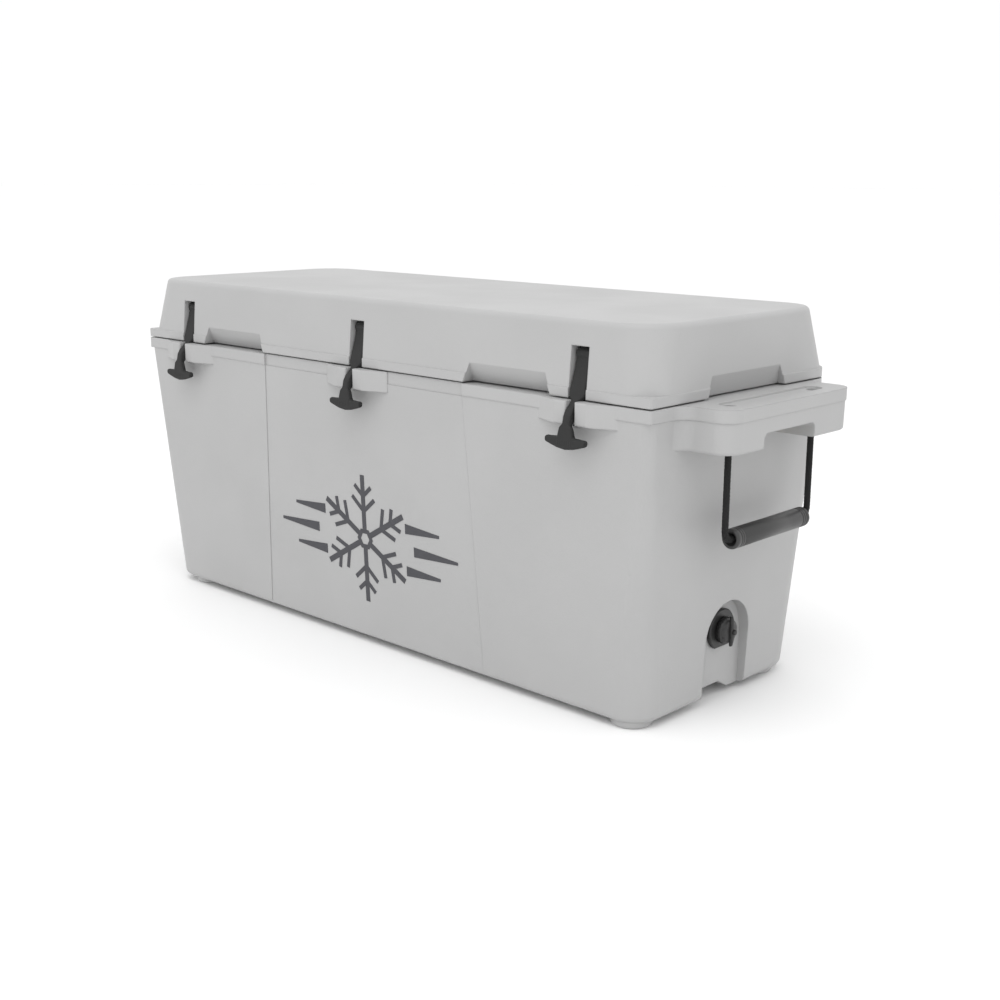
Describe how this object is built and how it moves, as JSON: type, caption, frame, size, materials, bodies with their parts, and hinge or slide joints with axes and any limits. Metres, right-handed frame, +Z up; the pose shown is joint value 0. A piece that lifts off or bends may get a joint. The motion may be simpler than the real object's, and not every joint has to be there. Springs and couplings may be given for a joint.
{
  "type": "cooler chest",
  "caption": "Long insulated hard cooler chest with a rear-hinged lid, rubber T-latches on the front, rope handles on moulded end lugs and a capped drain.",
  "frame": {"origin": "floor plane under the centre of the overall footprint", "axes": "+X along the length towards the drain end, +Y to the hinge side, +Z up"},
  "size_m": [1.132, 0.429, 0.4905],
  "materials": {
    "white_shell": "fine moulded texture",
    "insulation": "closed-cell foam",
    "grey_seal": "soft matte",
    "steel_rod": "drawn",
    "black_plastic": "satin",
    "black_rubber": "matte",
    "emblem_ink": "thin satin film",
    "black_rope": "braided",
    "grip_plastic": "satin"
  },
  "bodies": {
    "tub": {"body_shell": "white_shell", "body_foam": "insulation", "hinge_rod": "steel_rod", "hinge_rod_caps": "black_plastic", "drain_gasket": "black_rubber", "drain_fitting": "black_plastic", "drain_nut": "black_plastic", "front_emblem": "emblem_ink", "left_rope_knots": "black_rope", "right_rope_knots": "black_rope"},
    "lid": {"lid_shell": "white_shell", "lid_foam": "insulation", "lid_gasket": "grey_seal", "latch_pins": "steel_rod"},
    "latch_left": {"left_latch": "black_rubber"},
    "latch_middle": {"middle_latch": "black_rubber"},
    "latch_right": {"right_latch": "black_rubber"},
    "handle_left": {"left_handle_rope": "black_rope", "left_grip": "grip_plastic"},
    "handle_right": {"right_handle_rope": "black_rope", "right_grip": "grip_plastic"},
    "cap": {"drain_cap": "black_plastic", "drain_cap_seal": "black_rubber"}
  },
  "joints": [
    {"name": "lid_hinge", "type": "hinge", "parent": "tub", "child": "lid", "pos_m": [0, 0.205, 0.3985], "axis": [-1, 0, 0], "range_deg": [0, 95]},
    {"name": "left_latch_pivot", "type": "hinge", "parent": "lid", "child": "latch_left", "pos_m": [-0.392, -0.1745, 0.4505], "axis": [-1, 0, 0], "range_deg": [0, 85]},
    {"name": "middle_latch_pivot", "type": "hinge", "parent": "lid", "child": "latch_middle", "pos_m": [0, -0.1745, 0.4505], "axis": [-1, 0, 0], "range_deg": [0, 85]},
    {"name": "right_latch_pivot", "type": "hinge", "parent": "lid", "child": "latch_right", "pos_m": [0.392, -0.1745, 0.4505], "axis": [-1, 0, 0], "range_deg": [0, 85]},
    {"name": "left_handle_swing", "type": "hinge", "parent": "tub", "child": "handle_left", "pos_m": [-0.536, 0, 0.339], "axis": [0, 1, 0], "range_deg": [-15, 88]},
    {"name": "right_handle_swing", "type": "hinge", "parent": "tub", "child": "handle_right", "pos_m": [0.536, 0, 0.339], "axis": [0, -1, 0], "range_deg": [-15, 88]},
    {"name": "drain_cap_turn", "type": "hinge", "parent": "tub", "child": "cap", "pos_m": [0.48, 0, 0.092], "axis": [1, 0, 0], "range_deg": [0, 720]}
  ]
}
